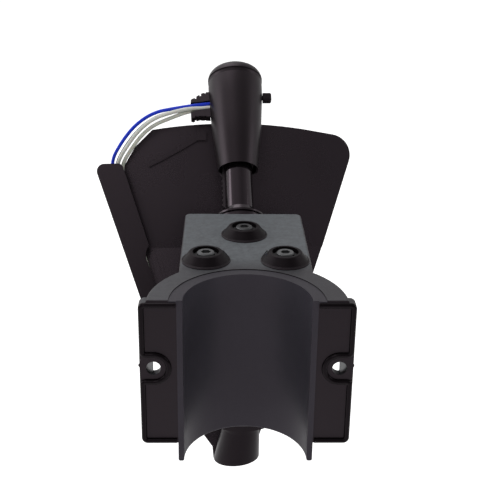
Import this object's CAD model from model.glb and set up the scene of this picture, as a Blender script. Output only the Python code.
"""Looks of a rail-mounted bilge pump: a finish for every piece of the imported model, the four leads
drawn as smooth insulated wire, and a plain pale studio."""

from math import cos, radians, sin, sqrt

import bpy
from mathutils import Matrix, Vector


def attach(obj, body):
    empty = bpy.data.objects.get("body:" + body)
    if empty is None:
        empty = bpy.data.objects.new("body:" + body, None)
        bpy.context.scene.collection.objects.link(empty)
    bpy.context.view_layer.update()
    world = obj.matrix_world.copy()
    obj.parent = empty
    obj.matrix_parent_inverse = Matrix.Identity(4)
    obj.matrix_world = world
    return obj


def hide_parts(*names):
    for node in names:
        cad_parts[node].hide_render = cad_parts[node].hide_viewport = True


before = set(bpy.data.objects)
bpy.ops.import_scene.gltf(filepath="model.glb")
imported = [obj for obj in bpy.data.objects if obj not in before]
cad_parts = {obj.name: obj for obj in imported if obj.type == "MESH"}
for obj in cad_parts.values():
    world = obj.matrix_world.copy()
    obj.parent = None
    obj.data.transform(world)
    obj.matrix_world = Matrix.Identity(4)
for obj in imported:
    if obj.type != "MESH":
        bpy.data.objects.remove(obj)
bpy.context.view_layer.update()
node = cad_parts
bpy.ops.object.select_all(action="DESELECT")

# Everything that swivels stands turned about the upright pivot by SWIVEL_DEG
PIVOT = Vector((0, 0.100, 0))
SWIVEL_DEG = 2.3
ROUND_PIVOT = Matrix.Rotation(radians(SWIVEL_DEG), 4, "Z")
SWIVEL = Matrix.Translation(PIVOT) @ ROUND_PIVOT @ Matrix.Translation(-PIVOT)
# The height of the block's top, and where its three screws stand
TOP = 0.0434
SCREW_SPOTS = [(-0.0200, 0.0473), (0.0200, 0.0473), (0.0000, 0.0833)]


# ---- Camera ---------------------------------------------------------------------------------------

eye = bpy.data.cameras.new("eye")
eye.sensor_width = 36
eye.lens = 69.2
eye.clip_start = 0.01
eye.clip_end = 20
eye_object = bpy.data.objects.new("eye", eye)
bpy.context.scene.collection.objects.link(eye_object)
EYE_PLACE = Vector((-0.01177, -0.38798, 0.227396))
right = Vector((0.99972, -0.01999, 0.01237))
up = Vector((-0.00402, 0.37319, 0.92775))
back = right.cross(up)
eye_object.matrix_world = Matrix((
    (right.x, up.x, back.x, EYE_PLACE.x),
    (right.y, up.y, back.y, EYE_PLACE.y),
    (right.z, up.z, back.z, EYE_PLACE.z),
    (0, 0, 0, 1),
))
bpy.context.scene.camera = eye_object


# ---- Effects that several finishes share ----------------------------------------------------------

def effect(name, inputs, outputs):
    """An empty node group with number inputs (name, default) and number outputs."""
    group = bpy.data.node_groups.new(name, "ShaderNodeTree")
    for title, value in inputs:
        socket = group.interface.new_socket(title, in_out="INPUT", socket_type="NodeSocketFloat")
        socket.default_value = value
    for title in outputs:
        group.interface.new_socket(title, in_out="OUTPUT", socket_type="NodeSocketFloat")
    return group, group.nodes.new("NodeGroupInput"), group.nodes.new("NodeGroupOutput")


def maths(tree, operation, a, b=None, clamp=False):
    """A Math node; a and b are sockets or numbers."""
    step = tree.nodes.new("ShaderNodeMath")
    step.operation = operation
    step.use_clamp = clamp
    for value, socket in ((a, step.inputs[0]), (b, step.inputs[1])):
        if value is None:
            continue
        if isinstance(value, (int, float)):
            socket.default_value = value
        else:
            tree.links.new(value, socket)
    return step.outputs[0]


def noise(tree, where, scale, detail=3.0, rough=0.5):
    """A Noise Texture's value; scale is a socket or a number, in cycles per metre."""
    cloud = tree.nodes.new("ShaderNodeTexNoise")
    cloud.inputs["Detail"].default_value = detail
    cloud.inputs["Roughness"].default_value = rough
    tree.links.new(where, cloud.inputs["Vector"])
    if isinstance(scale, (int, float)):
        cloud.inputs["Scale"].default_value = scale
    else:
        tree.links.new(scale, cloud.inputs["Scale"])
    return cloud.outputs["Fac"]


def mould_grain():
    """The fine leathery texture of a spark-eroded mould, with slow unevenness of its gloss."""
    group, given, made = effect(
        "Mould grain",
        [("Grains per metre", 2200.0), ("Patches per metre", 35.0)],
        ["Height", "Shade", "Gloss patches"],
    )
    place = group.nodes.new("ShaderNodeTexCoord").outputs["Object"]
    cells = group.nodes.new("ShaderNodeTexVoronoi")
    cells.feature = "SMOOTH_F1"
    cells.inputs["Smoothness"].default_value = 0.6
    group.links.new(place, cells.inputs["Vector"])
    group.links.new(given.outputs["Grains per metre"], cells.inputs["Scale"])
    fine = noise(group, place, given.outputs["Grains per metre"], 2.0)
    pits = maths(group, "MULTIPLY", cells.outputs["Distance"], 0.6)
    group.links.new(maths(group, "ADD", pits, fine), made.inputs["Height"])
    patches = noise(group, place, given.outputs["Patches per metre"], 4.0, 0.6)
    slow_shade = maths(group, "MULTIPLY", patches, 0.7)
    fine_shade = maths(group, "MULTIPLY", fine, 0.3)
    group.links.new(maths(group, "ADD", slow_shade, fine_shade), made.inputs["Shade"])
    group.links.new(patches, made.inputs["Gloss patches"])
    return group


def draw_lines():
    """Lines left along a drawn or brushed surface; the lines run along Z of the coordinates."""
    group, given, made = effect(
        "Draw lines",
        [("Lines per metre", 2500.0), ("Stretch", 0.02)],
        ["Height", "Shade"],
    )
    place = group.nodes.new("ShaderNodeTexCoord").outputs["Object"]
    parts = group.nodes.new("ShaderNodeSeparateXYZ")
    joined = group.nodes.new("ShaderNodeCombineXYZ")
    group.links.new(place, parts.inputs[0])
    group.links.new(parts.outputs[0], joined.inputs[0])
    group.links.new(parts.outputs[1], joined.inputs[1])
    group.links.new(maths(group, "MULTIPLY", parts.outputs[2], given.outputs["Stretch"]), joined.inputs[2])
    lines = noise(group, joined.outputs[0], given.outputs["Lines per metre"], 4.0, 0.6)
    group.links.new(lines, made.inputs["Height"])
    group.links.new(maths(group, "POWER", lines, 2.0), made.inputs["Shade"])
    return group


def settled_dust():
    """A bloom of dust and drying marks on what faces up, broken up by noise."""
    group, given, made = effect("Settled dust", [("Amount", 0.3), ("Specks per metre", 400.0)], ["Mask"])
    facts = group.nodes.new("ShaderNodeNewGeometry")
    place = group.nodes.new("ShaderNodeTexCoord").outputs["Object"]
    parts = group.nodes.new("ShaderNodeSeparateXYZ")
    group.links.new(facts.outputs["Normal"], parts.inputs[0])
    facing_up = maths(group, "MULTIPLY", maths(group, "SUBTRACT", parts.outputs[2], 0.72), 3.6, clamp=True)
    specks = noise(group, place, given.outputs["Specks per metre"], 6.0, 0.7)
    broken = maths(group, "ADD", maths(group, "MULTIPLY", specks, 0.70), 0.10, clamp=True)
    settled = maths(group, "MULTIPLY", facing_up, broken)
    mask = maths(group, "MULTIPLY", settled, given.outputs["Amount"], clamp=True)
    group.links.new(mask, made.inputs["Mask"])
    return group


def slow_waves():
    """The slight waviness of moulded sheet, which bends reflections into soft bands."""
    group, given, made = effect("Slow waves", [("Waves per metre", 14.0)], ["Height"])
    place = group.nodes.new("ShaderNodeTexCoord").outputs["Object"]
    squeezed = group.nodes.new("ShaderNodeMapping")
    squeezed.inputs["Scale"].default_value = (1.0, 0.35, 0.35)
    group.links.new(place, squeezed.inputs["Vector"])
    swell = noise(group, squeezed.outputs[0], given.outputs["Waves per metre"], 1.0)
    group.links.new(swell, made.inputs["Height"])
    return group


def boss_places():
    """1 on the three bosses that stand on the block's top, 0 elsewhere."""
    group, given, made = effect("Boss places", [("Radius", 0.0121)], ["Mask"])
    place = group.nodes.new("ShaderNodeTexCoord").outputs["Object"]
    parts = group.nodes.new("ShaderNodeSeparateXYZ")
    group.links.new(place, parts.inputs[0])
    flat = group.nodes.new("ShaderNodeCombineXYZ")
    group.links.new(parts.outputs[0], flat.inputs[0])
    group.links.new(parts.outputs[1], flat.inputs[1])
    nearest = None
    for x, y in SCREW_SPOTS:
        apart = group.nodes.new("ShaderNodeVectorMath")
        apart.operation = "DISTANCE"
        group.links.new(flat.outputs[0], apart.inputs[0])
        apart.inputs[1].default_value = (x, y, 0)
        gap = apart.outputs["Value"]
        nearest = gap if nearest is None else maths(group, "MINIMUM", nearest, gap)
    inside = maths(group, "LESS_THAN", nearest, given.outputs["Radius"])
    raised = maths(group, "GREATER_THAN", parts.outputs[2], TOP - 0.0002)
    group.links.new(maths(group, "MULTIPLY", inside, raised), made.inputs["Mask"])
    return group


GRAIN = mould_grain()
BOSSES = boss_places()
LINES = draw_lines()
DUST = settled_dust()
WAVES = slow_waves()


# ---- Finishes -------------------------------------------------------------------------------------

PALE_DUST = (0.262, 0.295, 0.312)
SHEET_DUST = (0.14, 0.135, 0.13)
# Black plastics throw back a slightly warm, plum-coloured shine
BLACK_SHINE = (1.0, 0.80, 0.93, 1)
BOSS_BLACK = (0.003, 0.0022, 0.0026)


def scaled(tint, factor):
    """The colour made darker or lighter, no channel over 1."""
    return tuple(min(1.0, channel * factor) for channel in tint)


def begin(name):
    """A new material with only its shader and output: (material, tree, shader)."""
    finish = bpy.data.materials.new(name)
    finish.use_nodes = True
    return finish, finish.node_tree, finish.node_tree.nodes["Principled BSDF"]


def place_effect(tree, group, **values):
    """The group as a node of this material, with its own values; underscores stand for spaces."""
    one = tree.nodes.new("ShaderNodeGroup")
    one.node_tree = group
    for title, value in values.items():
        one.inputs[title.replace("_", " ")].default_value = value
    return one


def fade(tree, value, start, end, low, high):
    """low to high as value goes from start to end."""
    ramp = tree.nodes.new("ShaderNodeMapRange")
    ramp.inputs["From Min"].default_value = start
    ramp.inputs["From Max"].default_value = end
    ramp.inputs["To Min"].default_value = low
    ramp.inputs["To Max"].default_value = high
    tree.links.new(value, ramp.inputs["Value"])
    return ramp.outputs["Result"]


def between(tree, fac, low, high):
    """low to high, numbers, as fac goes from 0 to 1."""
    return fade(tree, fac, 0, 1, low, high)


def colours(tree, fac, first, second):
    """A colour mixed from first to second, either a colour or a socket."""
    blend = tree.nodes.new("ShaderNodeMix")
    blend.data_type = "RGBA"
    tree.links.new(fac, blend.inputs["Factor"])
    for value, socket in ((first, blend.inputs[6]), (second, blend.inputs[7])):
        if isinstance(value, tuple):
            socket.default_value = (*value, 1)
        else:
            tree.links.new(value, socket)
    return blend.outputs[2]


def roughen(tree, shader, height, distance, strength=1.0):
    """Feeds a bump of this depth, in metres, to the shader's normal."""
    bump = tree.nodes.new("ShaderNodeBump")
    bump.inputs["Distance"].default_value = distance
    bump.inputs["Strength"].default_value = strength
    tree.links.new(height, bump.inputs["Height"])
    tree.links.new(bump.outputs[0], shader.inputs["Normal"])
    return bump


def moulded(name, tint, rough, grains=2200.0, depth=0.00002, dust=0.12, level=0.5, film=PALE_DUST):
    """Moulded black plastic or rubber: grained, with uneven gloss and a film of dust or wear on top."""
    finish, tree, shader = begin(name)
    grain = place_effect(tree, GRAIN, Grains_per_metre=grains)
    dirt = place_effect(tree, DUST, Amount=dust)
    base = colours(tree, grain.outputs["Shade"], scaled(tint, 0.78), scaled(tint, 1.22))
    tree.links.new(colours(tree, dirt.outputs["Mask"], base, film), shader.inputs["Base Color"])
    gloss = between(tree, grain.outputs["Gloss patches"], rough - 0.07, rough + 0.07)
    dulled = maths(tree, "MULTIPLY", dirt.outputs["Mask"], 0.3)
    tree.links.new(maths(tree, "ADD", gloss, dulled, clamp=True), shader.inputs["Roughness"])
    shader.inputs["Specular IOR Level"].default_value = level
    shader.inputs["Specular Tint"].default_value = BLACK_SHINE
    roughen(tree, shader, grain.outputs["Height"], depth)
    return finish


def weathered_saddle(finish):
    """Dust thins out over the saddle, and the handled bosses round the cover screws are wiped black."""
    tree = finish.node_tree
    shader = tree.nodes["Principled BSDF"]
    parts = tree.nodes.new("ShaderNodeSeparateXYZ")
    tree.links.new(tree.nodes.new("ShaderNodeTexCoord").outputs["Object"], parts.inputs[0])
    dirt = next(n for n in tree.nodes if n.type == "GROUP" and n.node_tree == DUST)
    # From the saddle's crown to the block over 20 mm, and from the right flange to the left over 100 mm
    past_crown = maths(tree, "SUBTRACT", parts.outputs[1], 0.030)
    on_block = maths(tree, "MULTIPLY", past_crown, 50.0, clamp=True)
    from_right = maths(tree, "SUBTRACT", 0.050, parts.outputs[0])
    leftward = maths(tree, "MULTIPLY", from_right, 10.0, clamp=True)
    block_dust = maths(tree, "MULTIPLY", on_block, 0.92)
    saddle_dust = maths(tree, "ADD", maths(tree, "MULTIPLY", leftward, 0.19), 0.19)
    amount = maths(tree, "MAXIMUM", block_dust, saddle_dust)
    tree.links.new(amount, dirt.inputs["Amount"])
    mask = place_effect(tree, BOSSES).outputs["Mask"]
    dusty = shader.inputs["Base Color"].links[0].from_socket
    tree.links.new(colours(tree, mask, dusty, BOSS_BLACK), shader.inputs["Base Color"])
    tree.links.new(between(tree, mask, 0.32, 0.14), shader.inputs["Specular IOR Level"])
    return finish


def sheet_plastic(name, tint, rough, level=0.5):
    """Glossy sheet or extrusion: nearly smooth, with slow waves that band its reflections."""
    finish, tree, shader = begin(name)
    grain = place_effect(tree, GRAIN, Grains_per_metre=900.0, Patches_per_metre=18.0)
    waves = place_effect(tree, WAVES)
    dirt = place_effect(tree, DUST, Amount=0.10, Specks_per_metre=700.0)
    base = colours(tree, grain.outputs["Shade"], scaled(tint, 0.85), scaled(tint, 1.2))
    tree.links.new(colours(tree, dirt.outputs["Mask"], base, SHEET_DUST), shader.inputs["Base Color"])
    tree.links.new(between(tree, grain.outputs["Gloss patches"], rough - 0.05, rough + 0.08),
                   shader.inputs["Roughness"])
    shader.inputs["Specular IOR Level"].default_value = level
    shader.inputs["Specular Tint"].default_value = BLACK_SHINE
    fine = roughen(tree, shader, grain.outputs["Height"], 0.000006)
    slow = tree.nodes.new("ShaderNodeBump")
    slow.inputs["Distance"].default_value = 0.0012
    tree.links.new(waves.outputs["Height"], slow.inputs["Height"])
    tree.links.new(slow.outputs[0], fine.inputs["Normal"])
    return finish


def metal(name, tint, rough, lines=2500.0, stretch=0.02, metallic=1.0):
    """Turned, drawn or brushed metal."""
    finish, tree, shader = begin(name)
    drawn = place_effect(tree, LINES, Lines_per_metre=lines, Stretch=stretch)
    patches = place_effect(tree, GRAIN, Patches_per_metre=120.0)
    base = colours(tree, drawn.outputs["Shade"], scaled(tint, 0.75), scaled(tint, 1.2))
    dull = maths(tree, "MULTIPLY", patches.outputs["Gloss patches"], 0.25)
    tree.links.new(colours(tree, dull, base, scaled(tint, 0.6)), shader.inputs["Base Color"])
    shader.inputs["Metallic"].default_value = metallic
    gloss = between(tree, drawn.outputs["Height"], rough - 0.08, rough + 0.10)
    tree.links.new(gloss, shader.inputs["Roughness"])
    roughen(tree, shader, drawn.outputs["Height"], 0.00001)
    return finish


def insulation(name, tint, rough=0.34):
    """Drawn PVC insulation: smooth, faintly mottled, with rubbed marks."""
    finish, tree, shader = begin(name)
    grain = place_effect(tree, GRAIN, Grains_per_metre=1600.0, Patches_per_metre=160.0)
    base = colours(tree, grain.outputs["Shade"], scaled(tint, 0.82), scaled(tint, 1.15))
    tree.links.new(base, shader.inputs["Base Color"])
    tree.links.new(between(tree, grain.outputs["Gloss patches"], rough - 0.06, rough + 0.10),
                   shader.inputs["Roughness"])
    shader.inputs["Specular IOR Level"].default_value = 0.30
    shader.inputs["Subsurface Weight"].default_value = 0.05
    shader.inputs["Subsurface Scale"].default_value = 0.001
    roughen(tree, shader, grain.outputs["Height"], 0.000008)
    return finish


FINISHES = {
    "mount_body": weathered_saddle(moulded("saddle_plastic", (0.0070, 0.0055, 0.0065), 0.45, depth=0.00003)),
    "saddle_liner": moulded(
        "bore_plastic", (0.046, 0.043, 0.053), 0.40,
        grains=1800.0, dust=0.8, level=0.20, film=(0.036, 0.036, 0.039),
    ),
    "flange_bead": moulded(
        "bead_rubber", (0.0012, 0.0008, 0.0010), 0.14, depth=0.000004, dust=0.0, level=0.15,
    ),
    "anchor_plates": metal("oiled_steel", (0.24, 0.24, 0.245), 0.34),
    "bearing_block": moulded("bearing_plastic", (0.040, 0.040, 0.042), 0.50),
    "thread_inserts": metal("insert_brass", (0.72, 0.55, 0.28), 0.30),
    "screw_washers": metal("dark_washer_steel", (0.035, 0.034, 0.036), 0.40),
    "cover_screws": metal("worn_screw_steel", (0.11, 0.11, 0.115), 0.34, metallic=0.85),
    "swivel_bush": moulded("bush_acetal", (0.60, 0.60, 0.57), 0.38, dust=0.03),
    "outlet_head": moulded("head_plastic", (0.020, 0.018, 0.020), 0.42),
    "pivot_washer": metal("stainless_washer", (0.55, 0.55, 0.54), 0.30),
    "pivot_screw": metal("stainless_screw", (0.52, 0.52, 0.51), 0.28),
    "arm_tube": sheet_plastic("polished_tube", (0.0050, 0.0038, 0.0046), 0.12, level=0.60),
    "arm_collar": sheet_plastic("polished_collar", (0.0050, 0.0038, 0.0045), 0.22),
    "outlet_sleeve": moulded(
        "sleeve_rubber", (0.0045, 0.0034, 0.0040), 0.38, grains=2600.0, dust=0.0, level=0.36,
    ),
    "flow_sensor": moulded("sensor_potting", (0.030, 0.030, 0.032), 0.30),
    "gland_grommet": moulded("grommet_rubber", (0.014, 0.013, 0.013), 0.50),
    "gland_jaws": moulded("jaw_plastic", (0.006, 0.0045, 0.0055), 0.36, dust=0.04),
    "head_seal": moulded("gasket_rubber", (0.018, 0.018, 0.018), 0.60),
    "pump_barrel": moulded("barrel_plastic", (0.020, 0.019, 0.020), 0.34),
    "barrel_grommet": moulded("barrel_grommet_rubber", (0.016, 0.016, 0.016), 0.50),
    "motor_cradle": moulded("cradle_plastic", (0.050, 0.050, 0.052), 0.50),
    "motor_can": metal("drawn_can_steel", (0.45, 0.45, 0.44), 0.34),
    "motor_cap": moulded("cap_plastic", (0.040, 0.040, 0.042), 0.48),
    "motor_magnets": moulded("sintered_ferrite", (0.11, 0.11, 0.11), 0.62, grains=1400.0),
    "shaft_seal": moulded("seal_rubber", (0.018, 0.018, 0.018), 0.50),
    "intake_tube": moulded(
        "lower_tube_plastic", (0.0050, 0.0038, 0.0047), 0.30, depth=0.000012, dust=0.0, level=0.20,
    ),
    "intake_strainer": metal("strainer_steel", (0.50, 0.50, 0.49), 0.32),
    "barrel_screws": metal("barrel_screw_steel", (0.50, 0.50, 0.49), 0.30),
    "fan_plate": sheet_plastic("splash_sheet", (0.0125, 0.0098, 0.0120), 0.26, level=0.46),
    "plate_bracket": moulded("bracket_plastic", (0.020, 0.018, 0.020), 0.46),
    "foot_block": moulded("foot_rubber", (0.018, 0.018, 0.018), 0.60),
    "bracket_screws": metal("bracket_screw_steel", (0.50, 0.50, 0.49), 0.30),
    "cable_channel": sheet_plastic("channel_plastic", (0.0065, 0.0048, 0.0058), 0.28, level=0.44),
    "channel_clips": moulded("clip_plastic", (0.020, 0.018, 0.020), 0.46),
    "clip_screws": metal("clip_screw_steel", (0.50, 0.50, 0.49), 0.30),
    "plate_tie": moulded("plate_tie_nylon", (0.005, 0.004, 0.0045), 0.36, dust=0.02),
    "tube_tie": moulded("tube_tie_nylon", (0.020, 0.018, 0.019), 0.30),
    "wire_blue": insulation("blue_insulation", (0.008, 0.045, 0.74)),
    "wire_white": insulation("white_insulation", (0.86, 0.87, 0.80)),
    "wire_grey": insulation("grey_insulation", (0.82, 0.83, 0.73)),
    "wire_black": insulation("black_insulation", (0.012, 0.012, 0.014)),
    "paddle_pin": metal("pin_steel", (0.55, 0.55, 0.54), 0.25),
    "motor_shaft": metal("ground_shaft_steel", (0.60, 0.60, 0.59), 0.22),
    "rotor_core": metal("core_laminations", (0.22, 0.21, 0.20), 0.50, lines=1200.0, stretch=30.0),
    "impeller": moulded("impeller_plastic", (0.30, 0.30, 0.29), 0.42),
    "clamp_knob": moulded("knob_plastic", (0.003, 0.0022, 0.0026), 0.40, dust=0.0, level=0.22),
    "flow_paddle": metal("paddle_brass", (0.70, 0.54, 0.28), 0.30),
}
for name, finish in FINISHES.items():
    node[name].data.materials.clear()
    node[name].data.materials.append(finish)


# ---- Leads ----------------------------------------------------------------------------------------

ARM_ROOT = Vector((0, 0.100, TOP - 0.046))
ARM_DIR = Vector((0, 1, 1)).normalized()
BEND = Vector((0, 0.175, TOP - 0.0446))
PLATE_TOP = Vector((0, 0.203, TOP + 0.030))
UP_PLATE = (PLATE_TOP - BEND).normalized()
OFF_PLATE = Vector((1, 0, 0)).cross(UP_PLATE)
TILT = radians(17.6)
CHANNEL_TOP = BEND + Vector((-0.0805, 0, 0)) + UP_PLATE * 0.0539
ACROSS = Vector((1, 0, 0)) * cos(TILT) + UP_PLATE * sin(TILT)
DOWN = OFF_PLATE.cross(ACROSS) * -1


def leaving(x, t, aside):
    """Beside the arm: t along it, aside from its axis towards the rail."""
    return ARM_ROOT + ARM_DIR * (t / 1000) + Vector((x, -aside / sqrt(2), aside / sqrt(2))) / 1000


def rise(x, y, z):
    """From the top plane of the block."""
    return Vector((x / 1000, y / 1000, TOP + z / 1000))


def held(down, across, lift):
    """In the channel: down its length, across its width, lift in front of the plate."""
    return CHANNEL_TOP + (DOWN * down + ACROSS * across + OFF_PLATE * lift) / 1000


LEADS = {
    "wire_blue": (1.1, [
        leaving(-16.2, 129.1, 1.3), leaving(-22, 128.3, 1.5), leaving(-28.5, 127.3, 1.7),
        rise(-39.0, 189.5, 43.4), rise(-51.0, 189.2, 41.2),
        rise(-62.5, 188.8, 33.8), rise(-71.5, 188.4, 23.0),
        rise(-79.0, 188.0, 9.8), held(9, 1.5, 6.9), held(24, 0.0, 7.2), held(42, -0.5, 7.4),
        held(61, -0.8, 7.4), held(80, -0.6, 7.6),
        held(97, -0.6, 7.6), rise(-50.6, 137, -85.6), rise(-48.6, 121, -85.5), rise(-43.0, 106.5, -84.6),
        rise(-34.5, 98.1, -84), rise(-26, 98.1, -84),
    ]),
    "wire_white": (1.2, [
        leaving(-16.2, 126.2, 1.45), leaving(-22, 125.4, 1.8), leaving(-29, 125.2, 2.2),
        rise(-40.0, 187.4, 41.6), rise(-51.4, 187.3, 37.8),
        rise(-60.6, 187.1, 30.6), rise(-68.0, 186.8, 20.9),
        rise(-74.7, 186.5, 10.2), held(7, 4.3, 8.6), held(21, 2.5, 9.4), held(40, 1.8, 9.4),
        held(61, 1.3, 9.4), held(80, 1.5, 9.3),
        held(96.5, 1.5, 9.2), rise(-48.0, 136, -82.2), rise(-46.0, 120.5, -82.6), rise(-41.4, 107, -82),
        rise(-34, 99.9, -81.9), rise(-26, 99.9, -81.9),
    ]),
    "wire_grey": (1.2, [
        leaving(-16.2, 126.2, -1.4), leaving(-22, 125.4, -1.0), leaving(-29, 124.9, -0.4),
        rise(-41.0, 189.1, 37.4), rise(-51.4, 188.9, 33.2),
        rise(-59.5, 188.6, 26.5), rise(-66.2, 188.3, 17.4),
        rise(-71.9, 187.9, 8.2), held(9, 6.2, 6.6), held(23, 4.4, 6.8), held(41, 3.8, 7.0),
        held(61, 2.8, 6.6), held(80, 2.6, 6.6),
        held(97, 2.8, 6.8), rise(-45.4, 137.5, -85.2), rise(-43.6, 122.5, -85.3), rise(-40.0, 109.4, -84.6),
        rise(-33.6, 101.95, -84), rise(-26, 101.95, -84),
    ]),
    "wire_black": (1.1, [
        leaving(-16.2, 129.1, -1.3), leaving(-22, 128.2, -1.6), leaving(-28.5, 127.0, -2.0),
        rise(-39.5, 192.0, 40.6), rise(-50.9, 192.0, 37.3),
        rise(-61.2, 191.6, 29.7), rise(-69.8, 190.8, 18.7),
        rise(-76.2, 189.6, 7.4), held(10, 3.4, 5.3), held(24, 1.8, 5.3), held(42, 1.3, 5.4),
        held(61, 0.4, 5.4), held(80, 0.3, 5.4),
        held(99, 0.8, 5.5), rise(-48.4, 138, -88.6), rise(-46.8, 122, -88.4), rise(-42, 107.2, -87),
        rise(-34.2, 100, -86.1), rise(-26, 100, -86.1),
    ]),
}

for name, (radius, route) in LEADS.items():
    line = bpy.data.curves.new("lead_" + name, "CURVE")
    line.dimensions = "3D"
    line.resolution_u = 8
    line.bevel_depth = radius / 1000
    line.bevel_resolution = 5
    line.use_fill_caps = True
    spline = line.splines.new("NURBS")
    spline.points.add(len(route) - 1)
    for point, place in zip(spline.points, route):
        point.co = (*(SWIVEL @ place), 1)
    spline.order_u = 3
    spline.use_endpoint_u = True
    line.materials.append(FINISHES[name])
    lead = bpy.data.objects.new("lead_" + name, line)
    bpy.context.scene.collection.objects.link(lead)
    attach(lead, "tail")
    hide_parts(name)


# ---- Studio ---------------------------------------------------------------------------------------

def softbox(name, place, aim, size, power):
    """A square area lamp at place that shines at aim."""
    lamp = bpy.data.lights.new(name, "AREA")
    lamp.size = size
    lamp.energy = power
    box = bpy.data.objects.new(name, lamp)
    bpy.context.scene.collection.objects.link(box)
    box.location = place
    box.rotation_euler = (Vector(aim) - Vector(place)).to_track_quat("-Z", "Y").to_euler()
    return box


softbox("overhead", (-0.35, 0.45, 1.1), (0, 0.08, 0), 0.9, 4.5)
softbox("left_strip", (-1.15, 0.15, 0.45), (0, 0.10, 0), 0.6, 2.7)
softbox("right_strip", (1.15, 0.05, 0.45), (0, 0.10, 0), 0.5, 1.8)
softbox("front_fill", (-0.45, -1.15, 0.95), (0, 0.05, -0.02), 0.6, 1.6)

FLOOR_SIZE = 12
FLOOR_Z = -0.165
FLOOR_GLOW = 0.75
FLOOR_SHINE = 0.30
bpy.ops.mesh.primitive_plane_add(size=FLOOR_SIZE, location=(0, 0, FLOOR_Z))
floor = bpy.context.object
floor.name = "floor"
pale, tree, shader = begin("pale_floor")
shader.inputs["Base Color"].default_value = (0.92, 0.92, 0.92, 1)
shader.inputs["Roughness"].default_value = 0.9
shader.inputs["Emission Color"].default_value = (1, 1, 1, 1)
seen = tree.nodes.new("ShaderNodeLightPath")
glow = maths(tree, "MULTIPLY", seen.outputs["Is Camera Ray"], FLOOR_GLOW)
shine = maths(tree, "MULTIPLY", seen.outputs["Is Glossy Ray"], FLOOR_SHINE)
tree.links.new(maths(tree, "ADD", glow, shine), shader.inputs["Emission Strength"])
floor.data.materials.append(pale)
bpy.ops.object.select_all(action="DESELECT")

ROOM_AMBIENT = 0.35
room = bpy.data.worlds.new("room")
bpy.context.scene.world = room
room.use_nodes = True
tree = room.node_tree
sky = tree.nodes["Background"]
sky.inputs["Color"].default_value = (1, 1, 1, 1)
seen = tree.nodes.new("ShaderNodeLightPath")
towards = tree.nodes.new("ShaderNodeSeparateXYZ")
tree.links.new(tree.nodes.new("ShaderNodeTexCoord").outputs["Generated"], towards.inputs[0])
# In reflections the room is darker in front of the object, and a little darker on its right
front_dim = fade(tree, towards.outputs["Y"], -0.30, 0.30, 0.46, 1.0)
right_dim = fade(tree, towards.outputs["X"], -0.15, 0.35, 1.0, 0.55)
mirrored = maths(tree, "MULTIPLY", front_dim, right_dim)
glossy = maths(tree, "MULTIPLY", seen.outputs["Is Glossy Ray"], mirrored)
direct = maths(tree, "MAXIMUM", seen.outputs["Is Camera Ray"], seen.outputs["Is Transmission Ray"])
not_glossy = maths(tree, "SUBTRACT", 1.0, seen.outputs["Is Glossy Ray"])
ambient = maths(tree, "MULTIPLY", not_glossy, ROOM_AMBIENT)
tree.links.new(maths(tree, "MAXIMUM", direct, maths(tree, "ADD", glossy, ambient)), sky.inputs["Strength"])

bpy.context.scene.view_settings.view_transform = "Standard"
